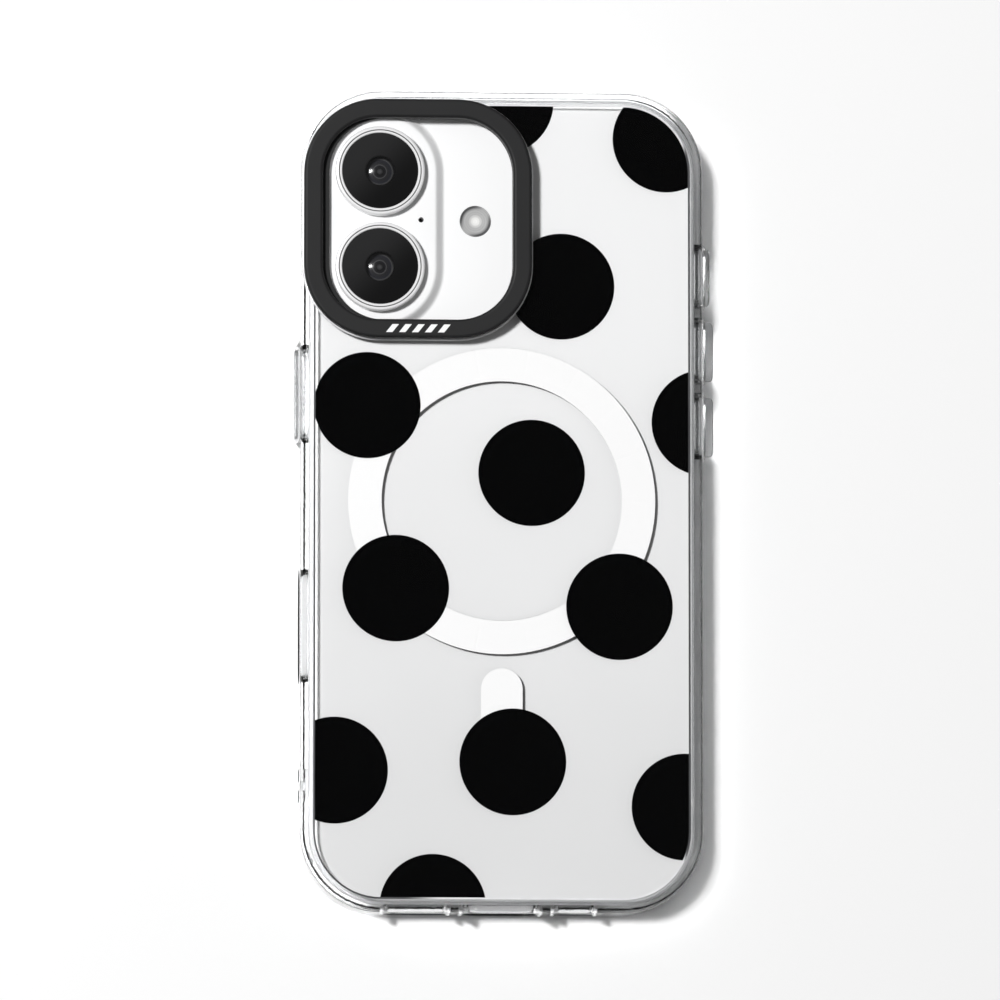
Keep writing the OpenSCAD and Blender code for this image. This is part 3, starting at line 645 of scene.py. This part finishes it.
def front_glass():
    """Black glass: the picture area is a shade lighter than the border, and a faint grid shows in it."""
    f = Finish("front_glass", coat_weight=1.0, coat_roughness=0.02, specular_ior_level=0.6)
    _, high = corners_of("screen_glass")
    x, y, _ = f.axes()
    border = 2.2 * MM
    inside = f.ease((abs(x) - (float(high[0]) - border)).larger(abs(y) - (float(high[1]) - border)),
                    -0.15 * MM, 0.15 * MM, 1, 0)
    turns = 2500  # radians a metre, which is a line every 1.3 mm
    grid = (x * turns).sine() * (y * turns).sine() * 0.5 + 0.5
    lit = f.mix(grid, (0.009, 0.009, 0.012, 1), (0.014, 0.014, 0.019, 1))
    smear = f.noise(18 * MM, 3)
    f.give(base_color=f.mix(inside, (0.004, 0.004, 0.004, 1), lit), roughness=0.04 + 0.05 * smear)
    return f


def display_layer():
    """Blue-black film with faint rows across it."""
    f = Finish("display_layer")
    _, y, _ = f.axes()
    turns = 4000  # radians a metre, which is a row every 1.6 mm
    rows = (y * turns).sine() * 0.5 + 0.5
    f.give(base_color=f.mix(rows, (0.01, 0.01, 0.018, 1), (0.02, 0.02, 0.032, 1)),
           roughness=0.3 + 0.1 * rows)
    return f


def fine_mesh():
    """Woven steel mesh, painted black."""
    f = Finish("fine_mesh", metallic=0.6)
    x, y, z = f.axes()
    wire = 15000  # radians a metre, which is a wire every 0.21 mm
    weave = abs((x * wire).sine()) * abs(((y + z) * wire).sine())
    f.give(base_color=f.mix(weave, (0.07, 0.07, 0.07, 1), (0.006, 0.006, 0.006, 1)),
           roughness=0.4 + 0.2 * weave)
    f.relief(weave, 0.03 * MM)
    return f


def control_face():
    """Polished metal under a clear cover, rubbed along its length."""
    f = Finish("control_face", metallic=1.0, coat_weight=0.8, coat_roughness=0.03)
    rub = f.noise(1.2 * MM, 3, (1, 0.2, 1))
    f.give(base_color=f.mix(rub, (0.62, 0.62, 0.63, 1), (0.74, 0.74, 0.75, 1)), roughness=0.1 + 0.1 * rub)
    return f


def pouch_foil():
    """Dark laminated foil with shallow wrinkles, with painted shade darkening the hollows of the wrinkles."""
    f = Finish("pouch_foil", metallic=0.7)
    crease, fine = f.noise(8 * MM, 4, (1, 0.4, 1)), f.noise(0.6 * MM)
    # Painted shade: the foil is darker where the wrinkles dip.
    f.give(base_color=f.mix(crease, (0.07, 0.07, 0.075, 1), (0.13, 0.13, 0.14, 1)),
           roughness=0.34 + 0.15 * fine)
    f.relief(0.8 * crease + 0.2 * fine, 0.12 * MM)
    return f


def board_mask():
    """Solder mask with tracks under it and a speckle of pads."""
    f = Finish("board_mask", coat_weight=0.5, coat_roughness=0.15)
    x, _, _ = f.axes()
    track = 6000  # radians a metre, which is a track every 0.52 mm
    tracks = f.ease(abs(((x + 0.35 * f.noise(4 * MM) * MM) * track).sine()), 0.35, 0.5)
    pads = f.ease(f.cells(1.3 * MM), 0.12, 0.16, 1, 0)
    green = f.mix(tracks, (0.012, 0.07, 0.03, 1), (0.03, 0.12, 0.055, 1))
    f.give(base_color=f.mix(pads, green, (0.72, 0.56, 0.22, 1)), roughness=0.3 + 0.12 * tracks,
           metallic=0.8 * pads)
    f.relief(tracks, 0.02 * MM)
    return f


def coil_winding():
    """Copper wire wound round and round the middle, with painted shade in the grooves between the turns."""
    f = Finish("coil_winding", metallic=1.0)
    pitch = 0.75 * MM
    turn = (f.radius((0, 0)) * (2 * math.pi / pitch)).sine() * 0.5 + 0.5
    dull = f.noise(3 * MM, 3)
    # Painted shade: the copper is dark where the turns dip.
    f.give(base_color=f.mix(turn, (0.3, 0.12, 0.05, 1), (0.76, 0.38, 0.19, 1)), roughness=0.28 + 0.15 * dull)
    f.relief(turn, 0.12 * MM)
    return f


def gold_dome():
    """Gold plate with a fine stamped grain."""
    f = Finish("gold_dome", metallic=1.0)
    grain = f.noise(0.4 * MM, 2)
    f.give(base_color=f.mix(grain, (0.66, 0.5, 0.22, 1), (0.8, 0.64, 0.34, 1)), roughness=0.22 + 0.14 * grain)
    return f


# ---- operators ----


class CASE_OT_bumper(bpy.types.Operator):
    """Gives the bumper its clear moulded plastic"""

    bl_idname = "case.bumper"
    bl_label = "Bumper"

    def execute(self, context):
        finish_nodes(clear_soft(context.scene.case_look), "bumper")
        return {"FINISHED"}


class CASE_OT_covers(bpy.types.Operator):
    """Makes the button covers and the moulded ramp round each of them"""

    bl_idname = "case.covers"
    bl_label = "Button covers"

    def execute(self, context):
        look = context.scene.case_look
        soft = clear_soft(look)
        wall = corners_of("bumper")[1][0]
        flange, flange_t, step = 0.6 * MM, 0.4 * MM, 0.23 * MM
        heel_in, heel_up = 0.25 * MM, 0.1 * MM
        dish = ((0.25 * MM, 0.03 * MM), (0.55 * MM, 0.1 * MM), (0.85 * MM, 0.13 * MM))
        gap, proud, crest, hollow = 0.22 * MM, 0.01 * MM, 0.15 * MM, 1.6
        e = look.cover_round
        for key in ("action", "volume_up", "volume_down", "side"):
            node = key + "_cover"
            low, high = corners_of(node)
            side = 1 if low[0] > 0 else -1
            y, z = (low[1] + high[1]) / 2, (low[2] + high[2]) / 2
            half_h = (high[2] - low[2]) / 2 - flange
            path = stadium_path((high[1] - low[1]) / 2 - flange - half_h)
            back = min(abs(low[0]), abs(high[0]))
            out = max(abs(low[0]), abs(high[0]))
            profile = [(half_h - heel_in, back), (half_h, back + heel_up), (half_h, back + step),
                       (half_h + flange, back + step), (half_h + flange, back + step + flange_t),
                       (half_h, back + step + flange_t)]
            profile += round_edge(half_h - e, out - e, e, 9)
            profile += [(half_h - e - run, out - drop) for run, drop in dish]
            put(f"{key}_pad", on_side(rings_of(path, profile), side, y, z), True, soft,
                key + "_cap", [node])
            inner, foot = half_h + gap, wall + proud
            outer, top = inner + look.ramp_width, wall + look.ramp_height
            share = np.linspace(0, 1, 9)
            slope = np.stack([outer - (outer - inner - 2 * crest) * share,
                              foot + (top - foot) * share ** hollow], -1)
            ramp = [(inner, foot)] + slope.tolist()
            ramp += round_edge(inner + crest, top - crest, crest, 4, 90)
            put(f"{key}_ramp", on_side(rings_of(path, ramp), side, y, z), False, soft, "case")
        return {"FINISHED"}


class CASE_OT_ribs(bpy.types.Operator):
    """Makes the rib at each end of the charging port's cut-out and of the two sound slots, painted white as a
    highlight
    """

    bl_idname = "case.ribs"
    bl_label = "Cut-out ribs"

    def execute(self, context):
        look = context.scene.case_look
        highlight_finish = painted_highlight_rib()
        port_low, port_high = corners_of("usb_shell")
        rows_low, rows_high = corners_of("sound_meshes")
        wall = abs(corners_of("bumper")[0][1])
        z = (port_low[2] + port_high[2]) / 2
        port_beyond, port_above = 2.6 * MM, 1.45 * MM
        port_h = port_high[2] - port_low[2] + 2 * port_above
        row_beyond, slot_h, long_w, short_w = 0.3 * MM, 3.0 * MM, 11.8 * MM, 7.4 * MM
        cutouts = (("port", port_low[0] - port_beyond, port_high[0] + port_beyond, port_h),
                   ("long_slot", rows_low[0] - row_beyond, rows_low[0] - row_beyond + long_w, slot_h),
                   ("short_slot", rows_high[0] + row_beyond - short_w, rows_high[0] + row_beyond, slot_h))
        half, e = look.rib_width / 2, 0.2 * MM
        sunk, proud, reach = 1.25 * MM, 0.18 * MM, 0.4
        foot, top = wall - sunk, wall + proud
        profile = [(half, foot)] + round_edge(half - e, top - e, e, 5)
        for name, left, right, height in cutouts:
            for end, x in (("left", left - half), ("right", right + half)):
                rings = rings_of(stadium_path(reach * height - half, 8), profile)
                upright = np.stack([-rings[..., 1], rings[..., 0], rings[..., 2]], -1)
                put(f"{name}_rib_{end}", on_bottom(upright, x, z), True, highlight_finish, "case")
        return {"FINISHED"}


class CASE_OT_back(bpy.types.Operator):
    """Finishes the clear back panel, the sheet over it and the dots between them"""

    bl_idname = "case.back"
    bl_label = "Back panel and dots"

    def execute(self, context):
        look = context.scene.case_look
        finish_nodes(clear_film(look), "face_sheet")
        finish_nodes(clear_core(), "back_panel")
        finish_nodes(dot_ink(look), "dot_print")
        NODES["dot_print"].visible_shadow = False
        low, high = corners_of("face_sheet")
        corner, cover = 12.6 * MM, 0.02 * MM
        path = rounded_path(low[:2], high[:2], corner)
        foot, top = low[2] + cover, high[2] - cover
        outer, inner = corner - cover, corner - cover - look.edge_line
        # sheet_edge is a painted line of shade and highlight along the sheet's edge.
        put("sheet_edge", rings_of(path, [(inner, foot), (outer, foot), (outer, top), (inner, top)]), False,
            painted_edge_line(), "case")
        return {"FINISHED"}


class CASE_OT_ring(bpy.types.Operator):
    """Finishes the white ring, the bar below it and the magnets and steel behind them"""

    bl_idname = "case.ring"
    bl_label = "Magnet ring"

    def execute(self, context):
        look = context.scene.case_look
        finish_nodes(ring_film(look), "ring_cover", "bar_cover")
        finish_nodes(plated_magnet(), "ring_magnets", "bar_magnet", "phone_magnets")
        finish_nodes(rolled_steel(), "ring_backing")
        return {"FINISHED"}


class CASE_OT_bezel(bpy.types.Operator):
    """Finishes the camera bezel and its printed marks"""

    bl_idname = "case.bezel"
    bl_label = "Camera bezel"

    def execute(self, context):
        look = context.scene.case_look
        finish_nodes(bezel_plastic(look), "camera_bezel")
        finish_nodes(mark_print(), "bezel_marks")
        low, high = corners_of("camera_bezel")
        face = corners_of("face_sheet")[1][2]
        corner, width = 13.8 * MM, look.seam_width
        gap, sunk, shoulder = 0.01 * MM, 0.35 * MM, 0.12 * MM
        inner, foot = corner + gap, face - sunk
        bead = [(inner, foot), (inner + width, foot)] + round_edge(inner, face - shoulder, width)
        put("bezel_seam", rings_of(rounded_path(low[:2], high[:2], corner), bead), False, sealant_bead(),
            "case")
        return {"FINISHED"}


class CASE_OT_phone_body(bpy.types.Operator):
    """Finishes the band, its buttons and the glass on both faces"""

    bl_idname = "case.phone_body"
    bl_label = "Phone body"

    def execute(self, context):
        look = context.scene.phone_look
        finish_nodes(blasted_band(look), "phone_band", "action_button", "volume_up_button",
                     "volume_down_button", "side_button")
        finish_nodes(control_face(), "camera_control")
        finish_nodes(antenna_plastic(), "antenna_inserts")
        finish_nodes(white_glass("satin_glass", look, 0.3), "back_glass")
        finish_nodes(white_glass("polished_glass", look, 0.1), "camera_plateau")
        finish_nodes(front_glass(), "screen_glass")
        finish_nodes(display_layer(), "display_panel")
        finish_nodes(rolled_steel(), "midplate", "usb_shell", "bottom_screws", "board_shields",
                     "haptic_motor")
        return {"FINISHED"}


class CASE_OT_cameras(bpy.types.Operator):
    """Makes the lens trims and the optics inside them, and finishes the flash and the microphone"""

    bl_idname = "case.cameras"
    bl_label = "Cameras"

    def execute(self, context):
        look = context.scene.phone_look
        mould = black_mould()
        gap, seat_w, bevel, e = 0.02 * MM, 0.4 * MM, 0.12 * MM, 0.4 * MM
        groove, groove_middle = 0.05 * MM, 0.71 * MM
        groove_out, floor_out, floor_in, groove_in = 0.62 * MM, 0.67 * MM, 0.75 * MM, 0.8 * MM
        steps, rise, lean, bulge = 8, 0.09 * MM, 0.02 * MM, 0.45 * MM
        for name in ("upper", "lower"):
            middle = middle_of("lens_ring_" + name)
            low, high = corners_of("lens_ring_" + name)
            glass_low, glass_high = corners_of("lens_glass_" + name)
            path = circle_path(middle)
            r, seat = (high[0] - low[0]) / 2, (glass_high[0] - glass_low[0]) / 2 + gap
            ledge, top, foot = glass_low[2] - gap, high[2], low[2]
            trim = [(seat - seat_w, foot), (r, foot)] + round_edge(r - e, top - e, e, 7)
            trim += [(r - groove_out, top), (r - floor_out, top - groove), (r - floor_in, top - groove),
                     (r - groove_in, top), (seat + bevel, top), (seat, top - bevel), (seat, ledge),
                     (seat - seat_w, ledge)]
            put(f"lens_trim_{name}", rings_of(path, trim), False,
                turned_trim(middle, float(r) - groove_middle), "phone",
                ["lens_ring_" + name])
            stack_low, stack_high = corners_of("lens_stack_" + name)
            r, base = (stack_high[0] - stack_low[0]) / 2, stack_low[2]
            rim, element = ledge - 0.25 * MM, look.element_radius
            treads = np.linspace(r - 0.3 * MM, element + 0.25 * MM, steps + 1)
            risers = rim - rise * np.arange(1, steps + 1)
            well = [(r, base), (r, rim - 0.1 * MM), (r - 0.1 * MM, rim), (treads[0], rim)]
            for k in range(steps):
                well += [(treads[k] - lean, risers[k]), (treads[k + 1], risers[k])]
            share = np.linspace(0, 1, 12)[:-1]
            dome = np.stack([element * (1 - share), risers[-1] + bulge * np.sin(share * math.pi / 2)], -1)
            well += [(element + 0.05 * MM, risers[-1] + 0.1 * MM)] + dome.tolist()
            put(f"lens_well_{name}", rings_of(path, well), True, lens_inside(middle, look), "phone",
                ["lens_stack_" + name])
            finish_nodes(lens_cover(middle, look), "lens_glass_" + name)
        finish_nodes(mould, "camera_module_upper", "camera_module_lower", "front_camera")
        finish_nodes(flash_glass(middle_of("flash_window")), "flash_window")
        finish_nodes(flash_phosphor(), "flash_led")
        finish_nodes(fine_mesh(), "rear_mic_mesh", "earpiece_mesh", "sound_meshes")
        return {"FINISHED"}


class CASE_OT_insides(bpy.types.Operator):
    """Finishes the parts inside the phone"""

    bl_idname = "case.insides"
    bl_label = "Inside the phone"

    def execute(self, context):
        finish_nodes(black_mould(), "earpiece_speaker", "loudspeaker", "usb_tongue")
        finish_nodes(pouch_foil(), "battery")
        finish_nodes(board_mask(), "logic_board")
        finish_nodes(coil_winding(), "charging_coil")
        finish_nodes(gold_dome(), "button_switches")
        return {"FINISHED"}


class CASE_OT_stage(bpy.types.Operator):
    """Sets up the table, the lights and the camera"""

    bl_idname = "case.stage"
    bl_label = "Table, lights and camera"

    def execute(self, context):
        look, scene = context.scene.stage_look, context.scene
        f = Finish("table_top", roughness=0.6)
        cloud = f.noise(0.4, 2)
        f.give(base_color=f.mix(cloud, shade(look.floor_colour, 0.99), look.floor_colour))
        edge, top = 3.0, -0.02 * MM
        table = bpy.data.meshes.new("table")
        corners = [(-edge, -edge, top), (edge, -edge, top), (edge, edge, top), (-edge, edge, top)]
        table.from_pydata(corners, [], [(0, 1, 2, 3)])
        table.materials.append(f.material)
        floor = bpy.data.objects.new("table", table)
        scene.collection.objects.link(floor)

        world = bpy.data.worlds.new("studio")
        world.use_nodes = True
        tree = world.node_tree
        back = tree.nodes["Background"]
        back.inputs[0].default_value = (1, 1, 1, 1)
        way, split, height = (tree.nodes.new(kind) for kind in (
            "ShaderNodeTexCoord", "ShaderNodeSeparateXYZ", "ShaderNodeMapRange"))
        tree.links.new(way.outputs["Generated"], split.inputs[0])
        tree.links.new(split.outputs[2], height.inputs[0])
        low_sky, high_sky, horizon = 0.05, 0.75, 0.12
        for socket, value in enumerate((low_sky, high_sky, look.sky * horizon, look.sky), 1):
            height.inputs[socket].default_value = value
        tree.links.new(height.outputs[0], back.inputs[1])
        scene.world = world

        for name, place, size, watts in (("key", (-0.72, 0.34, 1.45), 0.2, look.key_watts),
                                         ("fill", (1.5, -0.2, 0.75), 1.0, look.fill_watts)):
            light = bpy.data.lights.new(name, "AREA")
            light.shape, light.size, light.energy = "SQUARE", size, watts
            lamp = bpy.data.objects.new(name, light)
            lamp.location = place
            lamp.rotation_euler = (-Vector(place)).to_track_quat("-Z", "Y").to_euler()
            scene.collection.objects.link(lamp)

        camera = bpy.data.objects.new("camera", bpy.data.cameras.new("camera"))
        aim = Vector((0.03 * MM, 0.72 * MM, 5 * MM))
        away = Vector((-math.tan(look.tilt_west), -math.tan(look.tilt_south), 1)).normalized()
        right = Vector((0, 1, 0)).cross(away).normalized()
        camera.matrix_world = Matrix((right, away.cross(right), away)).transposed().to_4x4()
        camera.location = aim + away * look.distance
        picture_width, sensor = 185.64 * MM, 36
        camera.data.sensor_width = sensor
        camera.data.lens = sensor * look.distance / picture_width
        scene.collection.objects.link(camera)
        scene.camera = camera
        scene.view_settings.view_transform = "Standard"
        return {"FINISHED"}


PIECES = (CASE_OT_stage, CASE_OT_bumper, CASE_OT_covers, CASE_OT_ribs, CASE_OT_back, CASE_OT_ring,
          CASE_OT_bezel, CASE_OT_phone_body, CASE_OT_cameras, CASE_OT_insides)


class CASE_PT_panel(bpy.types.Panel):
    """Lists the pieces of the case, the phone and the stage"""

    bl_label = "Phone case"
    bl_space_type = "VIEW_3D"
    bl_region_type = "UI"
    bl_category = "Phone case"

    def draw(self, context):
        for operator in PIECES:
            self.layout.operator(operator.bl_idname)
        for look in (context.scene.case_look, context.scene.phone_look, context.scene.stage_look):
            box = self.layout.box()
            for key in look.__annotations__:
                box.prop(look, key)


LOOKS = {"case_look": CaseLook, "phone_look": PhoneLook, "stage_look": StageLook}


def register():
    """Registers every class, and ties the looks to the scene."""
    for kind in (*LOOKS.values(), *PIECES, CASE_PT_panel):
        bpy.utils.register_class(kind)
    for name, kind in LOOKS.items():
        setattr(bpy.types.Scene, name, bpy.props.PointerProperty(type=kind))


def unregister():
    """Undoes what register does."""
    for name in LOOKS:
        delattr(bpy.types.Scene, name)
    for kind in (CASE_PT_panel, *PIECES[::-1], *LOOKS.values()):
        bpy.utils.unregister_class(kind)


def main():
    """Makes every piece in order."""
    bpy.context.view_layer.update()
    register()
    for operator in PIECES:
        group, name = operator.bl_idname.split(".")
        getattr(getattr(bpy.ops, group), name)()


if __name__ == "__main__":
    main()
